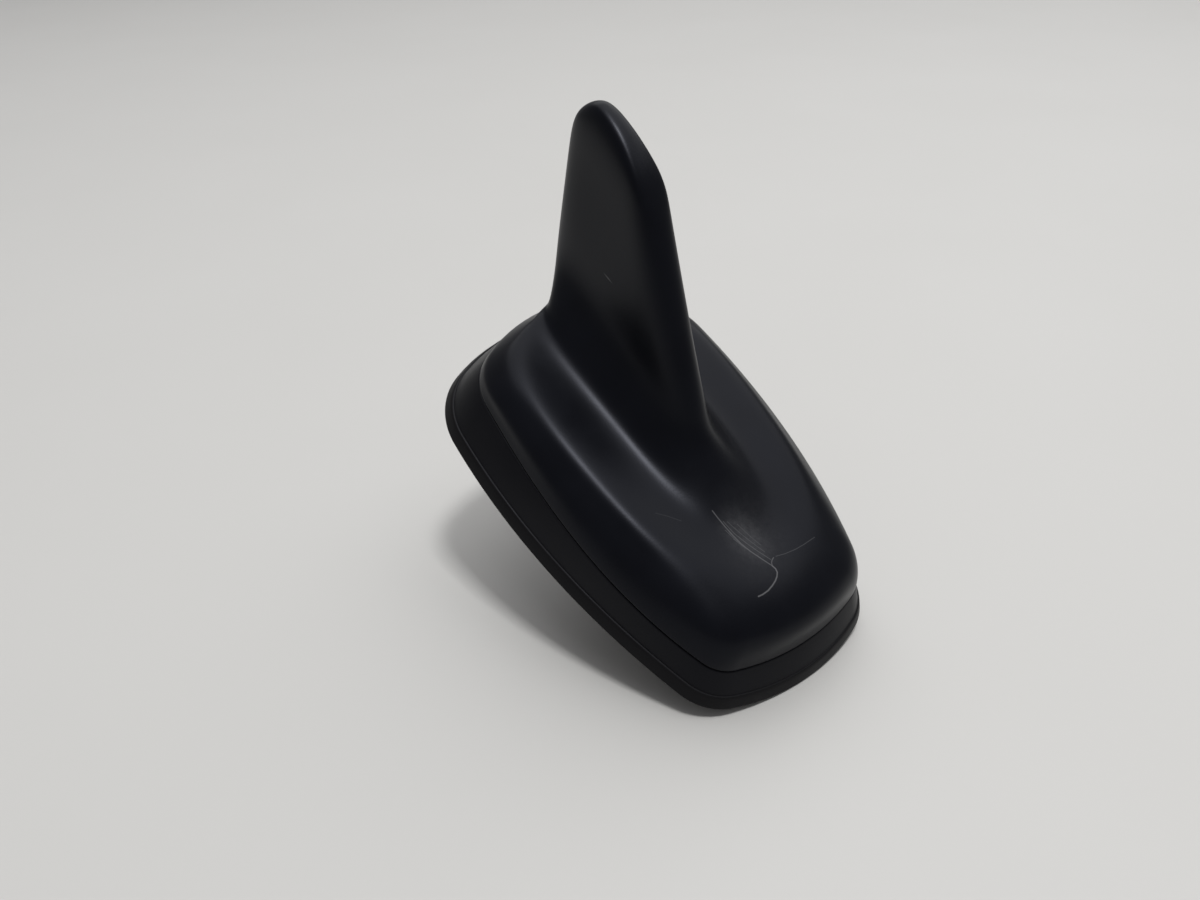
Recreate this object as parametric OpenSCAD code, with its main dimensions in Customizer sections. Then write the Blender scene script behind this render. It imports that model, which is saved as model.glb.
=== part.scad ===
// Roof antenna: a moulded fin cover on a bowed base, with the board, the fin aerial,
// the hollow stud and the roof nut that it needs to work.
// Millimetres. The origin is on the stud's axis in the roof plane, +X points to the nose,
// +Y to the left and +Z up.

/* [Base outline] */
// Length of the base at the seal's lip
base_len = 108; // [106:1:112]
// Radius of the bowed nose edge
nose_r = 57; // [54:1:62]
// Radius of the two nose corners
nose_corner_r = 13; // [12.6:0.2:14]
// Distance of the nose corners' centres from the middle line
nose_corner_y = 14.7; // [14.3:0.1:15.1]
// Radius of the two tail corners
tail_corner_r = 21; // [20:0.5:22]
// Distance of the tail corners' centres from the middle line
tail_corner_y = 15.2; // [14.8:0.1:15.6]
// Radius of the bowed tail edge
tail_r = 52; // [50:1:56]
// Radius of the bowed sides
side_r = 184; // [170:1:210]

/* [Seams] */
// Height of the seal's lip under the lower frame
lip_h = 3; // [2.8:0.1:3.2]
// How far the lower frame's foot is set in from the lip's lower edge
foot_inset = 1.75; // [1.6:0.05:1.9]
// How far the cover's lower edge is set in from the lip's lower edge
seam_inset = 4.6; // [4.5:0.1:4.8]
// Extra set-in of the cover's lower edge at both ends
seam_pinch = 0.9; // [0.8:0.1:1]
// How far that edge swells out before the middle and draws in behind it
seam_belly = 3.4; // [3.2:0.1:3.5]
// Height of the seam between frame and cover at the middle of the base
seam_h = 10.5; // [10.3:0.1:10.7]
// Drop of the seam from the middle to the nose, and its rise to the tail
seam_fall = 2.1; // [1.9:0.1:2.3]
// How far the seam droops at both ends
seam_droop = 0.7; // [0.5:0.1:0.8]
// Height of the open groove that shows at the seam
seam_gap = 0.3; // [0.2:0.05:0.35]

/* [Cover] */
// Wall of the cover round the base
cover_wall = 2.2; // [2:0.1:2.4]
// Wall of the cover in the blade of the fin
blade_wall = 1.8; // [1.6:0.1:2]
// Height of the ridge round the deck
ridge_h = 19.6; // [19.5:0.05:19.8]
// Half width of the deck from ridge to ridge
ridge_half_w = 23.4; // [23:0.1:23.8]
// Height of the crease where the fin's root meets the deck
crease_h = 20.35; // [20.2:0.05:20.5]
// Half width of the fin's root at the crease, at the tail
root_half_w = 13.95; // [13.5:0.05:14.3]

/* [Fin] */
// Half thickness of the fin at its leading edge
fin_lead_half = 4.7; // [4.5:0.1:4.9]
// Half thickness of the fin at its trailing edge, near the root
fin_trail_half = 3.85; // [3.7:0.05:4.1]
// Half thickness of the fin at its trailing edge, near the top
fin_tip_half = 2.45; // [2.3:0.05:2.6]
// Height of the crown of the fin over the roof
fin_h = 68.85; // [68.5:0.05:69.5]
// How far the trailing edge leans back for each millimetre of height
trail_lean = 0.22; // [0.2:0.01:0.23]
// How far the leading edge runs back for each millimetre of height
lead_rake = 0.93; // [0.91:0.01:0.95]

/* [Stud and nut] */
// Diameter of the hollow stud over its thread
stud_d = 14; // [13.6:0.1:14.2]
// Diameter of the plain pilot at the stud's end
pilot_d = 12.4; // [12.2:0.1:12.6]
// Diameter of the cable passage through the stud
passage_d = 9; // [8.8:0.1:9.2]
// How far the stud reaches below the roof plane
stud_drop = 22; // [21:0.5:24]
// Width of the roof nut across its flats
nut_af = 22; // [21:0.5:24]
// Thickness of the roof nut
nut_h = 7; // [6:0.5:8]
// Width of the square centring clip
clip_w = 17; // [16.8:0.1:17.4]
// Thickness of the sheet metal that the stud clamps
roof_t = 1; // [0.8:0.1:1.2]

/* [Board] */
// Length of the circuit board
board_len = 72; // [70:1:73]
// Width of the circuit board
board_w = 27; // [26:0.5:27.5]
// Thickness of the circuit board
board_t = 1.4; // [1.2:0.1:1.6]
// Side of the square ceramic patch
patch_w = 25; // [24:0.5:25]
// Thickness of the ceramic patch
patch_h = 4; // [3.5:0.5:4.5]

/* [Hidden] */
$fn = 48;
EPS = 0.01;

half_len = base_len / 2;

// Points on each arc of half the outline, from the nose round to the tail
NOSE_STEPS = 3;
CORNER_STEPS = 6;
SIDE_STEPS = 10;

// The corner arcs touch the end arcs from inside, and the side arc touches both corners
nose_cx = half_len - nose_r;
tail_cx = tail_r - half_len;
nose_corner = [nose_cx + sqrt(pow(nose_r - nose_corner_r, 2) - pow(nose_corner_y, 2)), nose_corner_y];
tail_corner = [tail_cx - sqrt(pow(tail_r - tail_corner_r, 2) - pow(tail_corner_y, 2)), tail_corner_y];
corner_span = norm(tail_corner - nose_corner);
corner_dir = (tail_corner - nose_corner) / corner_span;
nose_reach = side_r - nose_corner_r;
tail_reach = side_r - tail_corner_r;
side_foot = (pow(nose_reach, 2) - pow(tail_reach, 2) + pow(corner_span, 2)) / (2 * corner_span);
side_drop = sqrt(pow(nose_reach, 2) - pow(side_foot, 2));
side_centre = nose_corner + side_foot * corner_dir + side_drop * [-corner_dir.y, corner_dir.x];

function heading(v) = atan2(v.y, v.x);
nose_end = heading(nose_corner - [nose_cx, 0]);
side_start = heading(nose_corner - side_centre);
side_end = heading(tail_corner - side_centre);
tail_start = heading(tail_corner - [tail_cx, 0]);

// Each arc: centre x, centre y, radius, first angle, last angle, steps
ARCS = [
    [nose_cx, 0, nose_r, 0, nose_end, NOSE_STEPS],
    [nose_corner.x, nose_corner.y, nose_corner_r, nose_end, side_start, CORNER_STEPS],
    [side_centre.x, side_centre.y, side_r, side_start, side_end, SIDE_STEPS],
    [tail_corner.x, tail_corner.y, tail_corner_r, side_end, tail_start, CORNER_STEPS],
    [tail_cx, 0, tail_r, tail_start, 180, NOSE_STEPS]
];
HALF_STOPS = [for (a = ARCS) for (i = [0:a[5] - 1]) [a[0], a[1], a[2], a[3] + (a[4] - a[3]) * i / a[5]]];
TAIL_STOP = [tail_cx, 0, tail_r, 180];
STOPS = concat(HALF_STOPS, [TAIL_STOP],
    [for (i = [len(HALF_STOPS) - 1:-1:1]) let (s = HALF_STOPS[i]) [s[0], -s[1], s[2], -s[3]]]);
RING_N = len(STOPS);

// A point of the outline set in by d, square to the edge
function inset_point(s, d) = [s[0] + (s[2] - d) * cos(s[3]), s[1] + (s[2] - d) * sin(s[3])];
// Place along the base, from -1 at the tail to 1 at the nose
function fore(s) = inset_point(s, 0).x / half_len;
// Left, middle or right
function side(s) = abs(s[3]) < EPS || abs(s[3]) > 180 - EPS ? 0 : sign(s[3]);
base_half_w = max([for (s = STOPS) inset_point(s, 0).y]);

// Height of the seam along the base
function seam_z(x) = seam_h - seam_fall * x - seam_droop * x * x;
// Set-in of the seam from its value at mid length
function seam_swell(x) = seam_pinch * x * x - seam_belly * (x - pow(x, 3));

// Rings of points that all start at the nose and run round by the left.
// One follows the outline at a set-in, at a height that may slope and bow.
function inset_ring(d, z, slope = 0, bow = 0) =
    [for (s = STOPS) let (p = inset_point(s, d), x = fore(s)) [p.x, p.y, z + slope * x + bow * x * x]];
// One follows the seam between frame and cover.
function seam_ring(d, rise) =
    [for (s = STOPS) let (x = fore(s), p = inset_point(s, d + seam_swell(x))) [p.x, p.y, seam_z(x) + rise]];
// One is the outline drawn narrower and shorter, for the deck.
function deck_ring(tail_x, nose_x, half_w, z, slope, bow) =
    [for (s = STOPS) let (x = fore(s))
        [tail_x + (nose_x - tail_x) * (1 + x) / 2,
         inset_point(s, 0).y / base_half_w * half_w,
         z + slope * x + bow * x * x]];
// One is a section of the fin: a chord from tail to nose, blunt at both ends.
function blade_ring(tail, nose, tail_w, nose_w, bluntness, arch = 0) =
    [for (s = STOPS) let (x = fore(s), u = (1 + x) / 2,
            w = (tail_w + (nose_w - tail_w) * u) * sqrt(max(0, 1 - pow(abs(x), bluntness))))
        [tail.x + (nose.x - tail.x) * u,
         side(s) * w,
         tail.y + (nose.y - tail.y) * u + arch * (1 - x * x)]];

// Edges of the fin in side view, as x at a height
LEAN_FROM = 20;
KNUCKLE = [-29.5, 62];
FOOT_FLARE = 2.5;
FOOT_FLARE_FROM = 25;
FOOT_FLARE_H = 4.5;
TRAIL_FOOT_X = -49.5;
function trail_x(z) = TRAIL_FOOT_X - trail_lean * (z - LEAN_FROM);
function lead_x(z) = KNUCKLE.x + lead_rake * (KNUCKLE.y - z)
    + FOOT_FLARE * exp(-(z - FOOT_FLARE_FROM) / FOOT_FLARE_H);

// Step of the cover's foot over the seam: how far in, and how far up
FOOT_STEP = [0.35, 1.9];
// Deck rings: x at the tail, x at the nose, half width, height, slope, bow
FLANK = [-46.2, 47.3, 29.8, 15, -1.3, 0.3];
SHOULDER = [-46.5, 44.55, 28.5, 17.7, 0.7, -0.2];
RIDGE = [-44.5, 34.5, ridge_half_w, ridge_h, -1, -0.8];
FLANK_SINK = 0.3;
// Sections of the root: [x, z] at the tail and at the nose, half widths there, bluntness
CREASE_TILT = 0.8;
CREASE = [[-46.05, crease_h - CREASE_TILT], [19.2, crease_h + CREASE_TILT], root_half_w, 11, 3.3];
ROOT = [[-47.45, 23.45], [10.1, 23.6], 9.65, 6.4, 5];
// Sections of the fin: height at the tail and at the nose, half widths there
FIN_BLUNT = 6.7;
FIN_SECTIONS = [
    [30, 30, fin_trail_half, fin_lead_half],
    [38, 39, mixed(fin_trail_half, fin_tip_half, 0.25), fin_lead_half],
    [48, 50, mixed(fin_trail_half, fin_tip_half, 0.7), fin_lead_half - 0.1],
    [56, 58.5, fin_tip_half, fin_lead_half - 0.1]
];
// Sections of the crest: [x, z] at the tail and at the nose, and the arch between them.
// The upper two have their heights from the crown.
CREST_BLUNT = 8;
CREST_W = [3.05, 4.3];
CREST = [[-57.9, 63.2], [-29.9, 60.1], 1.7];
CAP = [[-51.45, 0.6], [-32.15, -6.75], 1.55];
CAP_SHARE = 0.87;
CROWN = [[-51.2, -0.3], [-34.1, -3.9], 0.45];
CROWN_W = [0.2, 0.25];

// Control rings of the cover's skin, from its lower edge to the crown of the fin.
// t is the wall: 0 gives the outside, and the inside is drawn in by the wall, a little more
// at the raked leading edge, on top and towards the nose of the crest.
LEAD_SKEW = 1.4;
ROOT_SKEW = 1.6;
ROOT_SINK = 0.5;
CROWN_SINK = 1.35;
CREST_SINK = 0.8;
function mixed(a, b, k) = a + (b - a) * k;
function drawn_deck(a, t, sink) = deck_ring(a[0] + t, a[1] - t, a[2] - t, a[3] - sink * t, a[4], a[5]);
function drawn_root(a, t, skew, sink) =
    blade_ring(a[0] + t * [1, -sink], a[1] - t * [skew, sink], a[2] - t, a[3] - t, a[4]);
// How much a section of the fin sinks inside: nothing in the blade, most under the crest
FIN_SINK = [[0, 0], [0, 0], [0.2, 1], [0.6, 1.6]];
function drawn_fin(i, t, thin) =
    let (a = FIN_SECTIONS[i], z = [a[0], a[1]] - CREST_SINK * t * FIN_SINK[i])
    blade_ring([trail_x(z[0]) + t, z[0]], [lead_x(z[1]) - LEAD_SKEW * t, z[1]],
        a[2] - thin, a[3] - thin, FIN_BLUNT);
function drawn_crest(a, t, tail_in, nose_in, sink, w) =
    blade_ring(a[0] + t * [tail_in, -sink[0]], a[1] - t * [nose_in, sink[1]], w[0], w[1], CREST_BLUNT, a[2]);
function cover_rows(t) =
    let (thin = t > 0 ? blade_wall : 0, crest_w = CREST_W - [thin, thin],
        crown_w = t > 0 ? CROWN_W[1] : CROWN_W[0], top = [0, fin_h - CROWN_SINK * t], level = [0, 0])
    concat(
        [
            seam_ring(seam_inset + t, 0),
            seam_ring(seam_inset + FOOT_STEP[0] + t, FOOT_STEP[1]),
            drawn_deck(FLANK, t, FLANK_SINK),
            drawn_deck(SHOULDER, t, 1),
            drawn_deck(RIDGE, t, 1),
            drawn_root(CREASE, t, 1, 1),
            drawn_root(ROOT, t, ROOT_SKEW, ROOT_SINK)
        ],
        [for (i = [0:len(FIN_SECTIONS) - 1]) drawn_fin(i, t, thin)],
        [
            drawn_crest(CREST, t, 1, 1, CREST_SINK * [1, 1.6], crest_w),
            drawn_crest([CAP[0] + top, CAP[1] + top, CAP[2]], t, 0.4, 0.6, level, CAP_SHARE * crest_w),
            drawn_crest([CROWN[0] + top, CROWN[1] + top, CROWN[2]], t, 0.5, 0.4, level, [crown_w, crown_w])
        ]
    );

// A smooth skin through control rings: a uniform cubic B-spline that starts on the first
// ring and ends on the last one. u runs from 0 to the number of rings less one.
function with_ends(rows) = let (n = len(rows) - 1)
    concat([2 * rows[0] - rows[1]], rows, [2 * rows[n] - rows[n - 1]]);
function spline_ring(ext, u) =
    let (i = min(floor(u), len(ext) - 4), t = u - i)
    (pow(1 - t, 3) * ext[i] + (3 * pow(t, 3) - 6 * t * t + 4) * ext[i + 1]
        + (-3 * pow(t, 3) + 3 * t * t + 3 * t + 1) * ext[i + 2] + pow(t, 3) * ext[i + 3]) / 6;
function skin_rings(rows, stations) = let (ext = with_ends(rows)) [for (u = stations) spline_ring(ext, u)];

function flipped(list) = [for (i = [len(list) - 1:-1:0]) list[i]];

// Faces between neighbouring rings of n points, as triangles
function band_faces(n, from, to) = [for (j = [0:n - 1]) let (k = (j + 1) % n)
    each [[from + j, to + j, to + k], [from + j, to + k, from + k]]];
// Faces that zip the left of a slim ring to its right
function zip_faces(n, first, up) = [for (j = [0:n / 2 - 1])
    let (a = first + j, b = first + j + 1, c = first + n - j - 1, d = first + (n - j) % n)
    each up ? [[a, d, c], [a, c, b]] : [[a, c, d], [a, b, c]]];

// A solid whose surface runs through rings, closed by zips at both ends
module zipped_skin(rings) {
    n = len(rings[0]);
    last = (len(rings) - 1) * n;
    polyhedron(
        points = [for (r = rings) each r],
        faces = concat(
            [for (i = [0:len(rings) - 2]) each band_faces(n, i * n, (i + 1) * n)],
            [for (f = zip_faces(n, 0, false)) if (f[0] != f[1] && f[1] != f[2] && f[0] != f[2]) f],
            [for (f = zip_faces(n, last, true)) if (f[0] != f[1] && f[1] != f[2] && f[0] != f[2]) f]
        )
    );
}

// A ring-shaped solid whose section runs through rings and back to the first one
module looped_skin(rings) {
    n = len(rings[0]);
    m = len(rings);
    polyhedron(
        points = [for (r = rings) each r],
        faces = [for (i = [0:m - 1]) each band_faces(n, i * n, ((i + 1) % m) * n)]
    );
}

// Heights of the inner stack
pad_t = 2;
plate_top = 4.2;
ledge_top = 5.2;
ledge_inset = 9.6;
plate_inset = 7.9;
pocket_inset = 7.8;
tongue_inset = 5.8;
tongue_h = 0.8;
tongue_gap = 0.05;
standoff_h = 3.3;
board_z = plate_top + standoff_h;
board_top = board_z + board_t;

// Screws: the cover's stand in the nose corners and by the tail corners
COVER_SCREWS = [nose_corner, [nose_corner.x, -nose_corner.y],
    [tail_corner.x - 1, tail_corner.y + 5], [tail_corner.x - 1, -tail_corner.y - 5]];
boss_r = 3;
cover_screw_r = 1.45;
BOSS_TOP = [16.4, 16.4, 18.3, 18.3];
BOARD_SCREWS = [for (x = [-34.5, 3.5], y = [-10.5, 10.5]) [x, y]];
board_screw_r = 0.98;
cover_head_r = 2.7;
cover_head_h = 1.4;
// Room round anything that is pressed, screwed or soldered in
thread_slack = 0.02;

module outline_slab(d, h) {
    linear_extrude(h) polygon([for (s = STOPS) inset_point(s, d)]);
}
module rounded_square(w, r) {
    square([w, w - 2 * r], center = true);
    square([w - 2 * r, w], center = true);
    for (x = [-1, 1], y = [-1, 1]) translate([x, y] * (w / 2 - r)) circle(r);
}
module block(x, y, z) {
    translate([x[0], y[0], z[0]]) cube([x[1] - x[0], y[1] - y[0], z[1] - z[0]]);
}

// Outer shell: one moulding with the fin, a locating tongue round its rim and four bosses
OUT_STATIONS = concat([for (u = [0:0.25:7]) u], [for (u = [7.5:0.5:9.5]) u], [for (u = [10:0.25:13]) u]);
IN_STATIONS = concat([for (u = [0:0.5:9.5]) u], [for (u = [10:0.5:13]) u]);
module cover() {
    inner_d = seam_inset + cover_wall;
    rim = [seam_ring(inner_d, -tongue_h), seam_ring(tongue_inset, -tongue_h), seam_ring(tongue_inset, 0)];
    color([0.13, 0.13, 0.145]) union() {
        zipped_skin(concat(flipped(skin_rings(cover_rows(cover_wall), IN_STATIONS)), rim,
            skin_rings(cover_rows(0), OUT_STATIONS)));
        for (i = [0:len(COVER_SCREWS) - 1]) translate(COVER_SCREWS[i]) difference() {
            translate([0, 0, plate_top]) cylinder(r = boss_r, h = BOSS_TOP[i] - plate_top);
            translate([0, 0, plate_top - EPS]) cylinder(r = cover_screw_r + thread_slack, h = 9);
        }
    }
}

// Plain band between the seal's lip and the cover, with the ledge that the plate holds
module lower_frame() {
    land = seam_inset + 0.5;
    color([0.15, 0.145, 0.15]) looped_skin([
        inset_ring(foot_inset, lip_h),
        seam_ring(seam_inset - 0.05, -seam_gap),
        seam_ring(land, -seam_gap),
        seam_ring(land, -EPS),
        seam_ring(tongue_inset - tongue_gap, -EPS),
        seam_ring(tongue_inset - tongue_gap, -tongue_h - tongue_gap),
        seam_ring(seam_inset + cover_wall + tongue_gap, -tongue_h - tongue_gap),
        inset_ring(seam_inset + seam_pinch + cover_wall + tongue_gap, ledge_top),
        inset_ring(ledge_inset, ledge_top),
        inset_ring(ledge_inset, plate_top),
        inset_ring(plate_inset - 0.2, plate_top),
        inset_ring(plate_inset - 0.2, lip_h)
    ]);
}

// Rubber seal: a pad under the plate and the flared lip that shows all round
groove_h = 0.7;
module base_seal() {
    color([0.17, 0.165, 0.165]) difference() {
        union() {
            looped_skin([
                inset_ring(0.4, 0),
                inset_ring(0, 0.4),
                inset_ring(1.15, lip_h - 0.35),
                inset_ring(1.5, lip_h),
                inset_ring(pocket_inset, lip_h),
                inset_ring(pocket_inset, 0)
            ]);
            outline_slab(pocket_inset - 1, pad_t);
        }
        translate([0, 0, -1]) linear_extrude(pad_t + 2) rounded_square(clip_w + 0.4, 3);
        // sealing grooves in the underside
        translate([0, 0, -1]) difference() {
            outline_slab(4, 1 + groove_h);
            translate([0, 0, -1]) outline_slab(6.2, 3 + groove_h);
        }
        translate([0, 0, -1]) difference() {
            cylinder(r = 19, h = 1 + groove_h);
            translate([0, 0, -1]) cylinder(r = 16.5, h = 3 + groove_h);
        }
    }
}

// Die-cast plate: carries the stud, the board's standoffs and the cover's screws
stud_flange_r = 8.2;
stud_flange_h = 1;
module base_plate() {
    rib_h = 1.1;
    color([0.62, 0.63, 0.65]) difference() {
        union() {
            translate([0, 0, pad_t]) outline_slab(plate_inset, plate_top - pad_t);
            for (p = BOARD_SCREWS) translate([p.x, p.y, pad_t]) cylinder(r = 2.5, h = board_z - pad_t);
            // stiffening ribs between the standoffs and round the stud
            for (y = [-10.5, 10.5]) block([-34.5, 3.5], [y - 0.6, y + 0.6], [pad_t, plate_top + rib_h]);
            for (x = [-34.5, -20]) block([x - 0.6, x + 0.6], [-10.5, 10.5], [pad_t, plate_top + rib_h]);
            translate([0, 0, pad_t]) cylinder(r = stud_flange_r + 1.5, h = plate_top - pad_t + rib_h);
        }
        translate([0, 0, pad_t - 1]) cylinder(d = stud_d, h = plate_top);
        translate([0, 0, plate_top - stud_flange_h]) cylinder(r = stud_flange_r + 0.1, h = 5);
        for (p = BOARD_SCREWS) translate([p.x, p.y, plate_top - 1])
            cylinder(r = board_screw_r + thread_slack, h = 9);
        for (p = COVER_SCREWS) translate([p.x, p.y, pad_t]) {
            translate([0, 0, -1]) cylinder(r = cover_screw_r + 0.15, h = 5);
            cylinder(r1 = cover_head_r + thread_slack, r2 = cover_screw_r + thread_slack, h = cover_head_h);
        }
    }
}

// Hollow stud, pressed into the plate from above: a flange, the threaded length, which the
// finish cuts, a run-out cone, and a plain pilot that leads the nut on
module mounting_stud() {
    chamfer = 1;
    pilot_h = 7;
    run_out = (stud_d - pilot_d) / 2;
    pilot_z = chamfer - stud_drop;
    thread_z = pilot_z + pilot_h + run_out;
    color([0.7, 0.7, 0.72]) difference() {
        union() {
            translate([0, 0, -stud_drop]) cylinder(d1 = pilot_d - 2 * chamfer, d2 = pilot_d, h = chamfer);
            translate([0, 0, pilot_z]) cylinder(d = pilot_d, h = pilot_h);
            translate([0, 0, thread_z - run_out]) cylinder(d1 = pilot_d, d2 = stud_d, h = run_out);
            translate([0, 0, thread_z]) cylinder(d = stud_d, h = plate_top - thread_z);
            translate([0, 0, plate_top - stud_flange_h]) cylinder(r = stud_flange_r, h = stud_flange_h);
        }
        translate([0, 0, -stud_drop - 1]) cylinder(d = passage_d, h = stud_drop + plate_top + 2);
    }
}

// Square plastic collar that centres the stud in the roof's hole, with two snap tongues
module centring_clip() {
    skirt = roof_t + 1.2;
    tongue_w = 6;
    hook = 1.2;
    color([0.2, 0.2, 0.2]) difference() {
        union() {
            translate([0, 0, -skirt]) linear_extrude(skirt + pad_t) rounded_square(clip_w, 3);
            for (a = [90, -90]) rotate([0, 0, a]) translate([0, tongue_w / 2, 0]) rotate([90, 0, 0])
                linear_extrude(tongue_w) polygon([
                    [clip_w / 2 - 0.8, -roof_t - 0.1], [clip_w / 2 + hook, -roof_t - 0.1],
                    [clip_w / 2 + hook, -roof_t - 0.5], [clip_w / 2 - 0.1, -roof_t - 2.4],
                    [clip_w / 2 - 0.8, -roof_t - 2.4]]);
        }
        translate([0, 0, -roof_t - 3]) cylinder(d = stud_d + 0.2, h = roof_t + pad_t + 4);
        // slots that free the tongues
        for (a = [90, -90], s = [-1, 1]) rotate([0, 0, a])
            translate([clip_w / 2 - 1.8, s * (tongue_w / 2 + 0.4) - 0.4, -5]) cube([4, 0.8, 5]);
    }
}

// Dished earth washer whose teeth bite into the roof from below
dish_top = -roof_t - 3.4;
dish_t = 1.2;
tooth_n = 12;
module earth_washer() {
    rim_r = 15.4;
    color([0.66, 0.66, 0.62]) difference() {
        union() {
            rotate_extrude($fn = 72) polygon([
                [stud_d / 2 + 0.4, dish_top - dish_t], [11.5, dish_top - dish_t], [rim_r, dish_top + 1.6],
                [rim_r, -roof_t], [rim_r - 1.2, -roof_t], [rim_r - 1.2, dish_top + 2],
                [11, dish_top], [stud_d / 2 + 0.4, dish_top]]);
        }
        for (i = [0:tooth_n - 1]) rotate([0, 0, 360 * (i + 0.5) / tooth_n])
            translate([rim_r - 2.5, 0, -roof_t]) rotate([45, 0, 0]) cube([6, 2.8, 2.8], center = true);
    }
}

// Hexagon nut
nut_top = dish_top - dish_t;
module roof_nut() {
    across_corners = nut_af / cos(30);
    color([0.7, 0.7, 0.66]) translate([0, 0, nut_top - nut_h]) difference() {
        intersection() {
            cylinder(d = across_corners, h = nut_h, $fn = 6);
            union() {
                cylinder(d1 = nut_af + 0.4, d2 = across_corners + 1, h = 1.3);
                translate([0, 0, 1.3 - EPS]) cylinder(d = across_corners + 1, h = nut_h);
            }
        }
        translate([0, 0, -1]) cylinder(d = stud_d + 2 * thread_slack, h = nut_h + 2);
    }
}

// Rubber bush in the mouth of the passage, which the leads pass through
bush_bore_r = 3.2;
bush_flange_h = 1.2;
module cable_bush() {
    color([0.1, 0.1, 0.1]) translate([0, 0, -stud_drop]) difference() {
        union() {
            translate([0, 0, -bush_flange_h]) cylinder(r = 5.8, h = bush_flange_h);
            translate([0, 0, -EPS]) cylinder(d = passage_d, h = 8);
        }
        translate([0, 0, -bush_flange_h - 1]) cylinder(r = bush_bore_r, h = 12);
    }
}

// Circuit board on the standoffs, with a round opening over the passage
board_tail = -38;
pin_r = 0.6;
pin_x = 2;
module main_board() {
    color([0.05, 0.3, 0.14]) difference() {
        block([board_tail, board_tail + board_len], [-board_w / 2, board_w / 2], [board_z, board_top]);
        translate([0, 0, board_z - 1]) cylinder(d = passage_d, h = 4);
        for (p = BOARD_SCREWS) translate([p.x, p.y, board_z - 1]) cylinder(r = board_screw_r + 0.2, h = 4);
        translate([PATCH_X + pin_x, 0, board_z - 1]) cylinder(r = pin_r + thread_slack, h = 4);
        // cut corners at the tail
        for (s = [-1, 1]) translate([board_tail, s * board_w / 2, board_z + 1]) rotate([0, 0, 45])
            cube([3, 3, 6], center = true);
    }
}

// Ceramic satellite patch on the nose half of the board
PATCH_X = 20;
module ceramic_patch() {
    color([0.86, 0.84, 0.78]) difference() {
        block([PATCH_X - patch_w / 2, PATCH_X + patch_w / 2], [-patch_w / 2, patch_w / 2],
            [board_top, board_top + patch_h]);
        translate([PATCH_X + pin_x, 0, board_top - 1]) cylinder(r = pin_r + thread_slack, h = patch_h + 2);
    }
}
electrode_t = 0.1;
module patch_electrode() {
    half = patch_w / 2 - 2;
    cut = 3;
    color([0.8, 0.8, 0.82]) translate([PATCH_X, 0, board_top + patch_h]) difference() {
        linear_extrude(electrode_t) polygon([[-half, -half], [half - cut, -half], [half, -half + cut],
            [half, half], [-half + cut, half], [-half, half - cut]]);
        translate([pin_x, 0, -1]) cylinder(r = pin_r + thread_slack, h = 2);
    }
}
module patch_pin() {
    color([0.75, 0.7, 0.5]) translate([PATCH_X + pin_x, 0, 0]) {
        translate([0, 0, board_z - pin_r]) cylinder(r = pin_r, h = board_t + patch_h + electrode_t + pin_r);
        translate([0, 0, board_top + patch_h + electrode_t]) cylinder(r = 1.3, h = 0.4);
    }
}

// Tinned screening can over the amplifier, open towards the board
CAN_X = [-32, -14];
CAN_Y = [4.8, 13];
can_h = 3.4;
can_t = 0.3;
module shield_can() {
    color([0.72, 0.73, 0.74]) difference() {
        block(CAN_X, CAN_Y, [board_top, board_top + can_h]);
        block([CAN_X[0] + can_t, CAN_X[1] - can_t], [CAN_Y[0] + can_t, CAN_Y[1] - can_t],
            [board_top - 1, board_top + can_h - can_t]);
        for (x = [CAN_X[0] + 4:3.3:CAN_X[1] - 3]) translate([x, (CAN_Y[0] + CAN_Y[1]) / 2, board_top])
            cylinder(r = 0.7, h = can_h + 1);
    }
}

// Upright aerial board in the hollow of the fin
fin_board_t = 0.8;
fin_board_z = board_top + 1.5;
module upright(y, points) {
    translate([0, y[1], 0]) rotate([90, 0, 0]) linear_extrude(y[1] - y[0]) polygon(points);
}
module fin_board() {
    color([0.06, 0.32, 0.16]) upright([-fin_board_t / 2, fin_board_t / 2], [
        [-38.5, fin_board_z], [-14, fin_board_z], [-14, 19], [-4, 19], [-4, 25], [-34, 56],
        [-37, 58], [-48, 58], [-50, 55], [-42, 22], [-38.5, 19]]);
}
// Copper radiator on the right of that board: a trunk, a stepped line and a top plate
radiator_t = 0.15;
module fin_radiator() {
    color([0.72, 0.42, 0.2]) {
        y = [-fin_board_t / 2 - radiator_t, -fin_board_t / 2];
        line_w = 1.6;
        pitch = 3.4;
        rungs = 6;
        rung_len = 16;
        rung_step = 2.6;
        spine_back = 4.4;
        union() {
            block([-17, -14.4], y, [fin_board_z + 0.5, 24]);
            for (i = [0:rungs - 1]) {
                z = 22.4 + i * pitch;
                right_x = -14.4 - i * rung_step;
                block([right_x - rung_len, right_x], y, [z, z + line_w]);
                if (i < rungs - 1)
                    block([0, line_w] + right_x * [1, 1] - (i % 2 == 0 ? rung_len : spine_back) * [1, 1],
                        y, [z, z + pitch + line_w]);
            }
            upright(y, [[-42.6, 39.6], [-41, 39.6], [-41, 45.6], [-31, 45.6], [-31, 48], [-36.5, 54.5],
                [-47, 54.5], [-45.4, 45.6], [-42.6, 45.6]]);
        }
    }
}

// Plastic holder that grips the foot of the upright board
module board_bracket() {
    slot = fin_board_t / 2 + 0.02;
    color([0.82, 0.82, 0.8]) difference() {
        union() {
            block([-38.5, -18], [-4, 4], [board_top, fin_board_z]);
            block([-38, -18.5], [-2.2, 2.2], [board_top, 17.5]);
            for (x = [-36, -28.5, -21]) block([x - 0.6, x + 0.6], [-4, 4], [board_top, 13.5]);
        }
        block([-41, -14], [-slot, slot], [fin_board_z, 30]);
    }
}

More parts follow.
